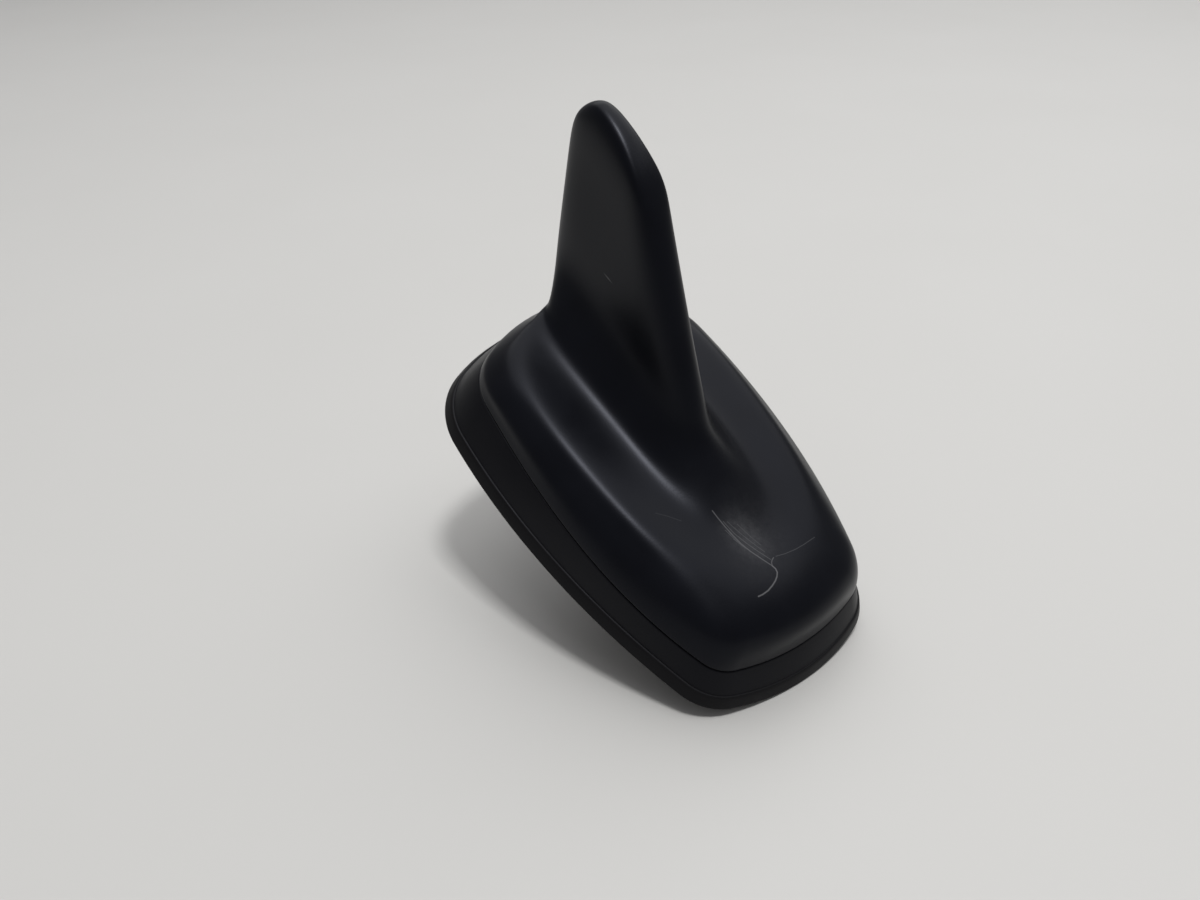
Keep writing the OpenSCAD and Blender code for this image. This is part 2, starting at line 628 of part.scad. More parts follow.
// Bent leaf that joins the board to the foot of the radiator
module feed_spring() {
    leaf_t = 0.25;
    color([0.8, 0.72, 0.45]) translate([-14.6, 0, board_top]) rotate([90, 0, -90])
        linear_extrude(2.2) polygon([[4.6, 0], [1.9, 0], [0.75, 2.4], [0.56, 5], [0.56 + leaf_t, 5.05],
            [1, 2.5], [2.05, leaf_t], [4.6, leaf_t]]);
}

// Two coaxial sockets beside the passage, for the leads
module coax_sockets() {
    color([0.76, 0.68, 0.42]) for (y = [-8.2, 8.2]) translate([-9.3, y, board_top]) {
        difference() {
            union() {
                translate([-2.7, -2.7, 0]) cube([5.4, 5.4, 1.2]);
                cylinder(r = 2.1, h = 4.2);
            }
            translate([0, 0, 1.2]) cylinder(r = 1.6, h = 4);
        }
        translate([0, 0, 1.2 - EPS]) cylinder(r = 0.45, h = 2.6);
    }
}

// Amplifier and filter packages on the open side of the board
CHIPS = [[-30, -9.2, 5, 5, 1], [-23.5, -9, 4, 4, 0.9], [-18, -9.6, 3, 2.5, 1.1], [-17.6, -6, 2.4, 1.2, 0.8],
    [-27, -5.4, 1.6, 0.8, 0.7], [-24, -5.4, 1.6, 0.8, 0.7], [5.3, 0, 1.6, 3, 0.9]];
module board_chips() {
    color([0.09, 0.09, 0.1]) for (c = CHIPS)
        block([c[0] - c[2] / 2, c[0] + c[2] / 2], [c[1] - c[3] / 2, c[1] + c[3] / 2],
            [board_top, board_top + c[4]]);
}

// Foam block that keeps the patch from rattling under the deck
module foam_pad() {
    base = board_top + patch_h + electrode_t;
    color([0.25, 0.25, 0.26]) block([PATCH_X + 4, PATCH_X + 11], [-6, 6], [base, ridge_h - cover_wall - 1.5]);
}

module pan_screw(shank_r, head_r, head_h, length) {
    difference() {
        union() {
            translate([0, 0, -length]) cylinder(r = shank_r, h = length + EPS);
            cylinder(r1 = head_r, r2 = head_r - 0.5, h = head_h);
        }
        for (a = [0, 90]) rotate([0, 0, a]) translate([0, 0, head_h])
            cube([2 * head_r - 1.4, 0.5, 1.2], center = true);
    }
}
module board_screws() {
    color([0.6, 0.6, 0.62]) for (p = BOARD_SCREWS) translate([p.x, p.y, board_top])
        pan_screw(board_screw_r, 2, 1.2, board_t + 2.9);
}
module cover_screws() {
    color([0.5, 0.5, 0.52]) for (p = COVER_SCREWS) translate([p.x, p.y, pad_t]) difference() {
        union() {
            cylinder(r1 = cover_head_r, r2 = cover_screw_r, h = cover_head_h);
            cylinder(r = cover_screw_r, h = 10);
        }
        for (a = [0, 90]) rotate([0, 0, a]) cube([3, 0.6, 1.6], center = true);
    }
}

cover();
lower_frame();
base_seal();
base_plate();
mounting_stud();
centring_clip();
earth_washer();
roof_nut();
cable_bush();
main_board();
ceramic_patch();
patch_electrode();
patch_pin();
shield_can();
fin_board();
fin_radiator();
board_bracket();
feed_spring();
coax_sockets();
board_chips();
foam_pad();
board_screws();
cover_screws();
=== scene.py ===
# %% [markdown]
# # A roof antenna, dressed on its solid model
#
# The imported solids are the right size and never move. They are in metres, with the origin on
# the hollow stud's axis in the plane of the roof, +X to the nose, +Y to the left and +Z away
# from the roof. This lesson gives them their looks. What the eye meets is made again as finer
# surfaces on the same numbers: the cover with its fin, the band under it, the seal, and the
# turned and pressed metal below. The boards inside keep their solids and get real finishes.

# %% The frame
import bmesh
import bpy
import math
import numpy as np
from mathutils import Matrix, Quaternion, Vector


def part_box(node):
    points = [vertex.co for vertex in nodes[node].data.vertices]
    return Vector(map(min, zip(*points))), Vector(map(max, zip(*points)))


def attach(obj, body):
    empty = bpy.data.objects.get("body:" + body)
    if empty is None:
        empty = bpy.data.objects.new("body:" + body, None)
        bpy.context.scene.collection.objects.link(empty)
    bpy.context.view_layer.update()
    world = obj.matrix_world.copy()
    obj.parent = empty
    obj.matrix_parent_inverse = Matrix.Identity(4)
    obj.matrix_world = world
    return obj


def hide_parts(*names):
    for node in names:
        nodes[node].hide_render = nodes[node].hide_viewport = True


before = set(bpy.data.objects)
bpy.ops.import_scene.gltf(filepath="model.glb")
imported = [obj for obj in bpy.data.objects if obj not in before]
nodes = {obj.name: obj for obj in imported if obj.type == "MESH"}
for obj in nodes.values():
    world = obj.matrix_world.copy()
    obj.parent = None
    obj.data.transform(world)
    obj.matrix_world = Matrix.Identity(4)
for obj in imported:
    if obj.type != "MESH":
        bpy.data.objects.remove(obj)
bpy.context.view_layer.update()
scene = bpy.context.scene
MM = 0.001
print("solids:", len(nodes))

# %% [markdown]
# ## The camera
#
# The photograph was taken by hand from the left of the nose, looking down at about 51
# degrees, with a wide phone lens. A camera is a place and a turn. The turn is written as one
# vector: its direction is the axis and its length the angle, from the object to the camera.

# %% Camera
camera_place = Vector((72.93, -126.39, 180.95)) * MM
turn = Vector((-0.7157, -0.0815, -0.9882))
to_camera = Quaternion(turn.normalized(), turn.length)
camera_data = bpy.data.cameras.new("camera")
camera_data.sensor_width = 36
camera_data.lens = 30
camera_data.clip_start = 0.01
camera = bpy.data.objects.new("camera", camera_data)
scene.collection.objects.link(camera)
camera.matrix_world = Matrix.Translation(camera_place) @ to_camera.inverted().to_matrix().to_4x4()
scene.camera = camera
print("camera at", [round(v, 3) for v in camera.matrix_world.translation])

# %% [markdown]
# ## The table's plane
#
# Off the car, the antenna rests on the lower edge of its nose and on the end of its stud, so
# the table is a tilted plane in this frame. A point's height over it is measured along the
# table's own upward direction.

# %% Table's plane
nose_edge = np.array([53.7, 0.0, 0.05])
stud_edge = np.array([5.8, 0.0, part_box("cable_bush")[0][2] / MM])
slope = math.atan2(nose_edge[2] - stud_edge[2], nose_edge[0] - stud_edge[0])
table_up = np.array([-math.sin(slope), 0.0, math.cos(slope)])
table_level = float(nose_edge @ table_up)
print("the table tilts by", round(math.degrees(slope), 1), "degrees")

# %% [markdown]
# ## The outline
#
# Seen from above, the base is five arcs that touch each other on each side: a bowed nose, a
# tight corner, a long bowed side, a wide corner and a bowed tail. A stop on the outline is
# the centre of its arc, the arc's radius and an angle. To set the outline in, only the radius
# shrinks, so every inner outline keeps smooth corners. All rings below share these stops,
# and so the rings can be joined, blended and eased as whole arrays.

# %% Outline
HALF = 54.0
NOSE_R, TAIL_R, SIDE_R = 57.0, 52.0, 184.0
NOSE_CORNER_R, NOSE_CORNER_Y = 13.0, 14.7
TAIL_CORNER_R, TAIL_CORNER_Y = 21.0, 15.2
ARC_STEPS = (9, 21, 33, 21, 9)


def outline_stops():
    """Centre x, centre y, radius and angle of each stop, from the nose round by the left.

    A corner's centre lies on a circle of radius (end radius - corner radius) round the end
    arc's centre, and the side's centre lies (side radius - corner radius) from both corners.
    """
    nose_cx, tail_cx = HALF - NOSE_R, TAIL_R - HALF
    nose_reach = math.sqrt((NOSE_R - NOSE_CORNER_R) ** 2 - NOSE_CORNER_Y ** 2)
    tail_reach = math.sqrt((TAIL_R - TAIL_CORNER_R) ** 2 - TAIL_CORNER_Y ** 2)
    nose = np.array([nose_cx + nose_reach, NOSE_CORNER_Y])
    tail = np.array([tail_cx - tail_reach, TAIL_CORNER_Y])
    span = np.linalg.norm(tail - nose)
    along = (tail - nose) / span
    reach = SIDE_R - np.array([NOSE_CORNER_R, TAIL_CORNER_R])
    foot = (reach[0] ** 2 - reach[1] ** 2 + span ** 2) / (2 * span)
    across = np.array([-along[1], along[0]])
    side = nose + foot * along + math.sqrt(reach[0] ** 2 - foot ** 2) * across
    angle = lambda a, b: math.atan2(a[1] - b[1], a[0] - b[0])
    marks = [0, angle(nose, (nose_cx, 0)), angle(nose, side), angle(tail, side),
             angle(tail, (tail_cx, 0)), math.pi]
    arcs = [(nose_cx, 0, NOSE_R), (*nose, NOSE_CORNER_R), (*side, SIDE_R),
            (*tail, TAIL_CORNER_R), (tail_cx, 0, TAIL_R)]
    half = np.concatenate([
        np.column_stack([np.tile(arc, (k, 1)), np.linspace(a, b, k, endpoint=False)])
        for arc, k, a, b in zip(arcs, ARC_STEPS, marks[:-1], marks[1:])])
    end = np.array([[tail_cx, 0, TAIL_R, math.pi]])
    mirror = half[:0:-1] * np.array([1, -1, 1, -1])
    return np.concatenate([half, end, mirror])


STOPS = outline_stops()


def outline(inset=0.0):
    """Outline set in by a distance: centre + (radius - inset) * (cos angle, sin angle)."""
    heading = np.column_stack([np.cos(STOPS[:, 3]), np.sin(STOPS[:, 3])])
    return STOPS[:, :2] + (STOPS[:, 2:3] - inset) * heading


FORE = outline()[:, 0] / HALF                    # -1 at the tail, 1 at the nose
SIDE = np.sign(np.round(outline()[:, 1], 6))     # 1 on the left, -1 on the right
print("stops:", len(STOPS), "width in mm:", round(np.ptp(outline()[:, 1]), 2))

# %% [markdown]
# ## Rings
#
# A few kinds of ring make the whole outside. An inset ring follows the outline. A seam ring
# also follows the swept seam between band and cover, low at the nose and high at the tail.
# A deck ring is the outline drawn shorter and narrower. A blade ring is a blunt lens on a
# chord: a section of the fin, and also of the ridge, channel and crease that it grows from.
# A round ring is a circle for the grooves that run round the stud.

# %% Rings
def inset_ring(inset, z, fall=0.0, bow=0.0):
    """Outline at an inset, at height z + fall * fore + bow * fore squared."""
    return np.column_stack([outline(inset), z + fall * FORE + bow * FORE ** 2])


def seam_ring(inset, rise=0.0):
    """Outline set in by inset + 0.9 f^2 - 3.4 (f - f^3), at height 10.5 - 2.1 f - 0.7 f^2
    plus a rise, with f the fore value. The seam pinches at both ends, bellies before the
    middle and draws in behind it."""
    swell = 0.9 * FORE ** 2 - 3.4 * (FORE - FORE ** 3)
    height = 10.5 + rise - 2.1 * FORE - 0.7 * FORE ** 2
    return np.column_stack([outline(inset + swell[:, None]), height])


def deck_ring(tail_x, nose_x, half_width, z, fall, bow):
    """Outline stretched to fit between two x values and a half width. Its height is that of an
    inset ring."""
    x = tail_x + (nose_x - tail_x) * (1 + FORE) / 2
    y = outline()[:, 1]
    return np.column_stack([x, y / y.max() * half_width, z + fall * FORE + bow * FORE ** 2])


def blade_ring(tail, nose, tail_width, nose_width, bluntness, arch=0.0):
    """Blunt lens on the chord from tail to nose, each an (x, z) point.

    Its half width is (tail width to nose width) * (1 - |fore| ** bluntness) ** 0.5, and the
    middle stands an arch above the chord.
    """
    u = (1 + FORE) / 2
    lens = np.sqrt(np.clip(1 - np.abs(FORE) ** bluntness, 0, 1))
    width = (tail_width + (nose_width - tail_width) * u) * lens
    z = tail[1] + (nose[1] - tail[1]) * u + arch * (1 - FORE ** 2)
    return np.column_stack([tail[0] + (nose[0] - tail[0]) * u, SIDE * width, z])


def round_ring(radius, z):
    """Circle on the stud's axis, at the same headings as the outline's own points."""
    heading = np.arctan2(outline()[:, 1], outline()[:, 0])
    level = np.full(len(FORE), float(z))
    return np.column_stack([radius * np.cos(heading), radius * np.sin(heading), level])


seam_height = seam_ring(0)[:, 2]
print("seam in mm at nose and tail:", round(seam_height.min(), 2), round(seam_height.max(), 2))

# %% [markdown]
# ## From rings to a surface
#
# A uniform cubic B-spline through control rings gives a skin whose curvature is smooth, so
# highlights run over it without a kink, as on a polished mould. Sharp corners of a section
# are eased into small parabolas, because no moulded or turned edge is truly sharp, and it is
# the eased edge that catches the light.

# %% Skins
def spline_skin(rows, stations):
    """Rings at stations 0 .. rows - 1 of a uniform cubic B-spline that ends on its end rows.

    With t the part of a station past its knot, the weights are (1-t)^3, 3t^3 - 6t^2 + 4,
    -3t^3 + 3t^2 + 3t + 1 and t^3, each over 6.
    """
    rows = np.asarray(rows)
    rows = np.concatenate([2 * rows[:1] - rows[1:2], rows, 2 * rows[-1:] - rows[-2:-1]])
    knot = np.minimum(np.floor(stations).astype(int), len(rows) - 4)
    t = (np.asarray(stations) - knot)[:, None, None]
    weights = [(1 - t) ** 3, 3 * t ** 3 - 6 * t ** 2 + 4, -3 * t ** 3 + 3 * t ** 2 + 3 * t + 1, t ** 3]
    return sum(w * rows[knot + i] for i, w in enumerate(weights)) / 6


# %% Eased corners
def eased(rings, cuts, steps=4, closed=True):
    """Section with each corner c turned into (1-t)^2 a + 2t(1-t) c + t^2 b, where a and b lie
    a cut away from c on its two sides, and never past the middle of a side."""
    rings = np.asarray(rings)
    before, after = np.roll(rings, 1, 0), np.roll(rings, -1, 0)
    cuts = np.broadcast_to(np.asarray(cuts, float), (len(rings),))[:, None, None]
    length = lambda other: np.maximum(np.linalg.norm(other - rings, axis=2, keepdims=True), 1e-6)
    a = rings + (before - rings) * np.minimum(cuts / length(before), 0.5)
    b = rings + (after - rings) * np.minimum(cuts / length(after), 0.5)
    t = np.linspace(0, 1, steps)[:, None, None, None]
    curve = ((1 - t) ** 2 * a + 2 * t * (1 - t) * rings + t ** 2 * b).swapaxes(0, 1)
    if not closed:
        curve[0], curve[-1] = rings[0], rings[-1]
    return curve.reshape(-1, *rings.shape[1:])


# %% Meshes and their place on the part
def ring_mesh(name, rings, ends="loop", crease=35):
    """Object through rings of n points. "loop" joins the last ring to the first; "zip" closes
    each slim end ring on itself, point j to point n - j. Faces are quads, as index arrays."""
    count, n = rings.shape[:2]
    index = np.arange(count * n).reshape(count, n)
    low = index if ends == "loop" else index[:-1]
    high = np.roll(index, -1, 0) if ends == "loop" else index[1:]
    quads = np.stack([low, np.roll(low, -1, 1), np.roll(high, -1, 1), high], -1).reshape(-1, 4)
    faces = quads.tolist()
    if ends == "zip":
        j = np.arange(1, n // 2 - 1)
        for ring, turn_over in ((index[0], True), (index[-1], False)):
            strip = np.stack([ring[j], ring[j + 1], ring[n - j - 1], ring[n - j]], -1)
            tips = [ring[[0, 1, -1]].tolist(), ring[n // 2 - 1:n // 2 + 2].tolist()]
            for face in strip.tolist() + tips:
                faces.append(face[::-1] if turn_over else face)
    mesh = bpy.data.meshes.new(name)
    mesh.from_pydata((rings.reshape(-1, 3) * MM).tolist(), [], faces)
    mesh.shade_smooth()
    mesh.set_sharp_from_angle(angle=math.radians(crease))
    mesh.update()
    piece = bpy.data.objects.new(name, mesh)
    scene.collection.objects.link(piece)
    return piece


def volume_of(piece):
    """Volume in cubic centimetres by the divergence theorem; it is positive if faces point out."""
    mesh = piece.data
    mesh.calc_loop_triangles()
    points = np.empty(len(mesh.vertices) * 3)
    mesh.vertices.foreach_get("co", points)
    corners = np.empty(len(mesh.loop_triangles) * 3, int)
    mesh.loop_triangles.foreach_get("vertices", corners)
    a, b, c = points.reshape(-1, 3)[corners].reshape(-1, 3, 3).swapaxes(0, 1)
    return float(np.einsum("ij,ij->", a, np.cross(b, c)) / 6 * 1e6)


def settle(piece, slot, *replaced):
    """The piece rides on the part and stands for its solids, which it hides. The slot is not used."""
    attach(piece, "root")
    if replaced:
        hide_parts(*replaced)
    print(piece.name, "faces:", len(piece.data.polygons), "cm3:", round(volume_of(piece), 3))


# %% [markdown]
# ## The cover and its fin
#
# On the real part this is one moulding: a low body whose wall rises to a soft ridge, a deck
# with a shallow channel behind the ridge, a crease where the fin's root flares out of the
# deck, and a blade that leans back to a rounded crown. A body and a fin joined by a fillet
# would show where they meet, so it is one skin through fifteen control rings, from the lower
# edge to the crown. The fin's two edges are formulas in side view, and its rings hang between
# them. The inside is the same skin drawn in by the wall.

# %% Fin's edges in side view
CREST = 68.85            # height of the crown over the roof in mm


def trail_x(z):
    """Trailing edge in side view: a straight lean of 0.22 mm a mm."""
    return -49.5 - 0.22 * (z - 20)


def lead_x(z):
    """Leading edge: a straight rake of 0.93 mm a mm, with an exponential flare at its foot."""
    return -29.5 + 0.93 * (62 - z) + 2.5 * math.exp(-(z - 25) / 4.5)


print("fin's chord in mm at 30 and 60:", [round(lead_x(z) - trail_x(z), 1) for z in (30, 60)])

# %% Control rings
COVER_WALL, FIN_WALL = 2.2, 1.8
FIN_BLUNTNESS = 6.7      # how squarely a fin section ends


def cover_rows(wall=0.0):
    """The control rings in mm; a wall above zero draws them in for the inside.

    The fin's sides then get the fin's own wall, and its crown a wall of 1.35 times the wall.
    """
    thin = FIN_WALL if wall else 0.0
    cap = 0.8 * wall
    top = CREST - 1.35 * wall
    edge = 0.25 if wall else 0.2
    tail_w, nose_w = 3.05 - thin, 4.3 - thin

    def fin_ring(z_tail, z_nose, tail_width, nose_width):
        return blade_ring((trail_x(z_tail) + wall, z_tail), (lead_x(z_nose) - 1.4 * wall, z_nose),
                          tail_width - thin, nose_width - thin, FIN_BLUNTNESS)

    return [
        # lower edge, foot, flank and shoulder
        seam_ring(4.6 + wall),
        seam_ring(5.12 + wall, 1.93),
        deck_ring(-47.48 + wall, 47.3 - wall, 30.28 - wall, 15.53 - 0.3 * wall, -0.31, -0.93),
        deck_ring(-44.26 + wall, 43.64 - wall, 26.87 - wall, 18.07 - wall, -1.33, 0.2),
        # ridge, channel, crease and the fin's root
        blade_ring((-45.18 + wall, 19.52 - wall), (36.11 - wall, 18.41 - wall),
                   26.68 - wall, 22.1 - wall, 2.78, 1.09),
        blade_ring((-45.4 + wall, 20.1 - wall), (30.5 - wall, 18.1 - wall),
                   19.29 - wall, 15.58 - wall, 4.74, 0.37),
        blade_ring((-46.03 + wall, 20.86 - wall), (23.5 - wall, 18.4 - wall),
                   12.97 - wall, 9.2 - wall, 4.62),
        blade_ring((-46.9 + wall, 22.94 - 0.5 * wall), (6 - 1.6 * wall, 23.9 - 0.5 * wall),
                   10.18 - wall, 6.6 - wall, 4.21),
        # the blade, from its foot up
        fin_ring(30, 30, 3.85, 4.7),
        fin_ring(38, 39, 3.5, 4.7),
        fin_ring(48 - 0.2 * cap, 50 - cap, 2.87, 4.6),
        fin_ring(56 - 0.6 * cap, 58.5 - 1.6 * cap, 2.45, 4.6),
        # the crown: its foot, its shoulder and its crest
        blade_ring((-57.8 + wall, 63.2 - cap), (-29.2 - wall, 61.1 - 1.6 * cap),
                   tail_w, nose_w, 8, 1.7),
        blade_ring((-52.8 + 0.4 * wall, top - 0.1), (-32.2 - 0.6 * wall, top - 5.6),
                   0.82 * tail_w, 0.8 * nose_w, 6, 1.5),
        blade_ring((-50 + 0.5 * wall, top - 0.05), (-35 - 0.4 * wall, top - 4), edge, edge, 6, 0.9),
    ]


print("control rings:", len(cover_rows()))

# %% [markdown]
# ## The cover's surface
#
# Stations are numbers along the skin, where 0 is the lower edge and 14 the crest. The outside
# takes ten of them to a ring, five where the blade is nearly straight, and the hidden inside
# takes four. A tongue under the rim drops into the band's groove, and the rim's outer corner
# is eased most, because it shows at the seam.

# %% Cover
TONGUE_OUT, TONGUE_IN, TONGUE_RISE = 5.8, 6.8, -0.8      # insets, and height over the seam
outer_stations = np.concatenate([
    np.arange(0.2, 9, 0.1), np.arange(9, 11, 0.2), np.arange(11, 14.01, 0.1)])
inner_stations = np.arange(14, -0.01, -0.25)
outer = spline_skin(cover_rows(), outer_stations)
inner = spline_skin(cover_rows(COVER_WALL), inner_stations)
rim_section = [
    inner[-2], seam_ring(TONGUE_IN, TONGUE_RISE), seam_ring(TONGUE_OUT, TONGUE_RISE),
    seam_ring(TONGUE_OUT), seam_ring(4.63), outer[0]]
rim = eased(rim_section, [0, 0.15, 0.15, 0.05, 0.42, 0], closed=False)
cover = ring_mesh("cover_skin", np.concatenate([inner[:-2], rim, outer[1:]]), "zip")
settle(cover, "cover_plastic", "cover")

# %% [markdown]
# ## The screw bosses under the cover
#
# Four bosses stand in the cover's corners and take its screws. They are turned shapes, so a
# profile of radius and height is carried round an axis. A profile that reaches the axis gives
# a pole of many points in one place, and merging them closes it.

# %% Turned shapes
def turned(name, rows, columns=96, centre=(0, 0), crease=35):
    """Object from a closed profile turned about a vertical axis: (r cos a, r sin a, z).
    A row is a radius and a height, and either may be an array of one value a column."""
    angle = np.linspace(0, 2 * np.pi, columns, endpoint=False)
    radius, z = (np.array([np.broadcast_to(row[i], columns) for row in rows], float) for i in (0, 1))
    rings = np.stack([centre[0] + radius * np.cos(angle), centre[1] + radius * np.sin(angle), z], -1)
    piece = ring_mesh(name, rings, "loop", crease)
    build = bmesh.new()
    build.from_mesh(piece.data)
    bmesh.ops.remove_doubles(build, verts=build.verts, dist=1e-7)
    bmesh.ops.dissolve_degenerate(build, edges=build.edges, dist=1e-7)
    build.to_mesh(piece.data)
    build.free()
    return piece


def eased_profile(points, cuts, steps=4, closed=True):
    """The same easing of corners, on a profile of (radius, height) points."""
    rings = np.asarray(points, float)[:, None, :]
    return eased(rings, cuts, steps, closed)[:, 0, :]


# %% Screw bosses
BOSSES = [  # x, y and height of the top in mm
    (38.47, 14.7, 15.4), (38.47, -14.7, 15.4), (-29.99, 20.2, 18.3), (-29.99, -20.2, 18.3)]
BOSS_R, BOSS_FOOT = 3, 4.2
HOLE_R, HOLE_TOP = 1.47, 13.2
bosses = []
for letter, (x, y, top) in zip("abcd", BOSSES):
    rows = [(0, HOLE_TOP), (HOLE_R, HOLE_TOP), (HOLE_R, BOSS_FOOT),
            (BOSS_R, BOSS_FOOT), (BOSS_R, top), (0, top)]
    boss = turned("cover_boss_" + letter, rows, 32, (x, y))
    settle(boss, "cover_plastic")
    bosses.append(boss)

# %% [markdown]
# ## The band
#
# On the real part the band is the seen edge of a plain frame that carries the cover. It could
# be cut out of a block, but a closed section carried round the outline gives every edge its
# own easing. It slopes from the seal up to the seam, stops a little short of the cover, and so
# leaves the fine dark line of an open groove. Inside the groove it takes the cover's tongue.

# %% Band
band_section = [
    inset_ring(1.75, 3.0), seam_ring(4.55, -0.3), seam_ring(5.1, -0.3), seam_ring(5.1, -0.01),
    seam_ring(5.75, -0.01), seam_ring(5.75, -0.85), seam_ring(6.85, -0.85), inset_ring(7.75, 5.2),
    inset_ring(9.6, 5.2), inset_ring(9.6, 4.2), inset_ring(7.7, 4.2), inset_ring(7.7, 3.0)]
band_cuts = [0.22, 0.3, 0.04, 0.04, 0.04, 0.04, 0.04, 0.1, 0.2, 0.1, 0.1, 0.1]
band = ring_mesh("band", eased(band_section, band_cuts, 5))
settle(band, "frame_plastic", "lower_frame")

# %% [markdown]
# ## The seal
#
# The rubber seal keeps water out of the roof's opening, and its lip flares out below the
# band. Under the lip a flat pad reaches in to the square hole for the clip, with two grooves
# that squeeze shut on the roof. It is again one section, whose rings change from the outline
# to circles and to a rounded square.

# %% Seal
GROOVE_TOP = 0.7


def clip_ring(z, width=17.4, corner=3):
    """Rounded square at the outline's headings: the support of a square, with its corners
    cut to arcs. The radius along a heading solves |p - corner centre| = corner radius."""
    heading = np.arctan2(outline()[:, 1], outline()[:, 0])
    c, s = np.abs(np.cos(heading)), np.abs(np.sin(heading))
    half, core = width / 2, width / 2 - corner
    flat = half / np.maximum(c, s)
    b = core * (c + s)
    arc = b + np.sqrt(np.maximum(b ** 2 - 2 * core ** 2 + corner ** 2, 0))
    in_corner = np.minimum(flat * c, flat * s) > core
    r = np.where(in_corner, arc, flat)
    return np.column_stack([r * np.cos(heading), r * np.sin(heading), np.full(len(r), float(z))])


seal_section = [
    inset_ring(0.4, 0), inset_ring(0, 0.4), inset_ring(1.15, 2.65), inset_ring(1.5, 3),
    inset_ring(7.8, 3), inset_ring(7.8, 2), clip_ring(2), clip_ring(0),
    round_ring(16.5, 0), round_ring(16.5, GROOVE_TOP), round_ring(19, GROOVE_TOP), round_ring(19, 0),
    inset_ring(6.2, 0), inset_ring(6.2, GROOVE_TOP), inset_ring(4, GROOVE_TOP), inset_ring(4, 0)]
seal_cuts = [0.2, 0.3, 0.35, 0.12] + [0.08] * 12
seal = ring_mesh("seal", eased(seal_section, seal_cuts, 4))
settle(seal, "seal_rubber", "base_seal")

# %% [markdown]
# ## Stud, nut, washer and bush
#
# The hollow stud goes through the roof and lets the leads out, and the bush closes its mouth.
# The nut pulls it tight from inside, and the washer's teeth bite through the paint for earth.
# A thread is a turned shape whose radius also depends on the angle: a trapezoid wave of
# height minus angle, in pitches. It fades out over the run-out cone. The nut's flats are the
# radius of a hexagon along each heading, and its corners are cut by a cone. The washer's
# teeth are V notches in the height of its rim.

# %% Stud
STUD_COLUMNS = 96
PITCH, DEPTH = 1.5, 0.8
THREAD_LOW, THREAD_HIGH = -13.9, 3.0
THREAD_R, RELIEF_R, RELIEF_TOP = 7.0, 6.2, -14.0
HALF_FLAT, FLANK = 0.0625, 0.375      # half a crest's flat and one flank, in pitches
angles = np.linspace(0, 2 * np.pi, STUD_COLUMNS, endpoint=False)
thread_z = np.arange(THREAD_LOW, THREAD_HIGH, PITCH / 10)
level = thread_z[:, None]
phase = (level / PITCH - angles / (2 * np.pi)) % 1.0
cut = np.clip((np.abs(phase - 0.5) - HALF_FLAT) / FLANK, 0, 1)
fade = np.clip((level - THREAD_LOW) / 1.2, 0, 1) * np.clip((THREAD_HIGH - level) / 0.8, 0, 1)
stock = np.minimum(THREAD_R, RELIEF_R + np.maximum(level - RELIEF_TOP, 0))
thread_r = stock - DEPTH * cut * fade
mouth = [(4.5, -21.7), (4.5, -22), (5.2, -22), (RELIEF_R, -21), (RELIEF_R, RELIEF_TOP)]
collar = [(7, 3.1), (7, 3.2), (8.1, 3.2), (8.2, 3.3), (8.2, 4.1), (8.1, 4.2), (4.6, 4.2), (4.5, 4.1)]
stud_rows = [*eased_profile(mouth, 0.2, closed=False), *zip(thread_r, thread_z), *collar]
stud = turned("stud", stud_rows, STUD_COLUMNS, crease=50)
settle(stud, "stud_steel", "mounting_stud")

# %% Nut
HALF_ACROSS, NUT_BORE = 11.0, 7.02
NUT_LOW, NUT_HIGH = -12.6, -5.6
CONE_R, CONE_SLOPE = 11.1, 0.62       # where the corners' cone starts, and its slope
hexagon = HALF_ACROSS / np.cos(angles % (np.pi / 3) - np.pi / 6)
cone = np.maximum(hexagon - CONE_R, 0) * CONE_SLOPE
nut_rows = [
    (NUT_BORE, NUT_LOW + 0.7), (7.7, NUT_LOW), (10.7, NUT_LOW), (hexagon - 0.05, NUT_LOW + cone),
    (hexagon, NUT_LOW + 0.15 + cone), (hexagon, NUT_HIGH - 0.2), (hexagon - 0.08, NUT_HIGH - 0.02),
    (np.minimum(11.6, hexagon - 0.08), NUT_HIGH), (np.minimum(11.5, hexagon - 0.08), NUT_HIGH),
    (NUT_BORE, NUT_HIGH)]
nut = turned("nut", nut_rows, STUD_COLUMNS, crease=30)
settle(nut, "nut_steel", "roof_nut")

# %% Earth washer
WASHER_COLUMNS = 360
TOOTH_TURN, TOOTH_R = np.pi / 6, 14.8
TOOTH_TOP, NOTCH_DEPTH = -1.0, 1.98
turn_round = np.linspace(0, 2 * np.pi, WASHER_COLUMNS, endpoint=False)
aside = np.abs((turn_round / TOOTH_TURN) % 1 - 0.5) * TOOTH_TURN * TOOTH_R
tooth = TOOTH_TOP - np.clip(NOTCH_DEPTH - aside, 0, NOTCH_DEPTH)
washer_rows = [
    (7.4, -5.5), (7.5, -5.6), (11.3, -5.6), (11.6, -5.5), (15.3, -3.0), (15.4, -2.75),
    (15.4, tooth - 0.06), (15.34, tooth), (14.26, tooth), (14.2, tooth - 0.06),
    (14.2, -2.99), (14.1, -3.05), (11.1, -4.35), (10.9, -4.4), (7.5, -4.4), (7.4, -4.5)]
washer = turned("washer", washer_rows, WASHER_COLUMNS)
settle(washer, "washer_steel", "earth_washer")

# %% Cable bush
bush_profile = [(3.2, -23.2), (5.8, -23.2), (5.8, -22), (4.5, -22), (4.5, -14.01), (3.2, -14.01)]
bush = turned("bush", eased_profile(bush_profile, [0.4, 0.4, 0.3, 0.02, 0.2, 0.2], 5), 64)
settle(bush, "bush_rubber", "cable_bush")

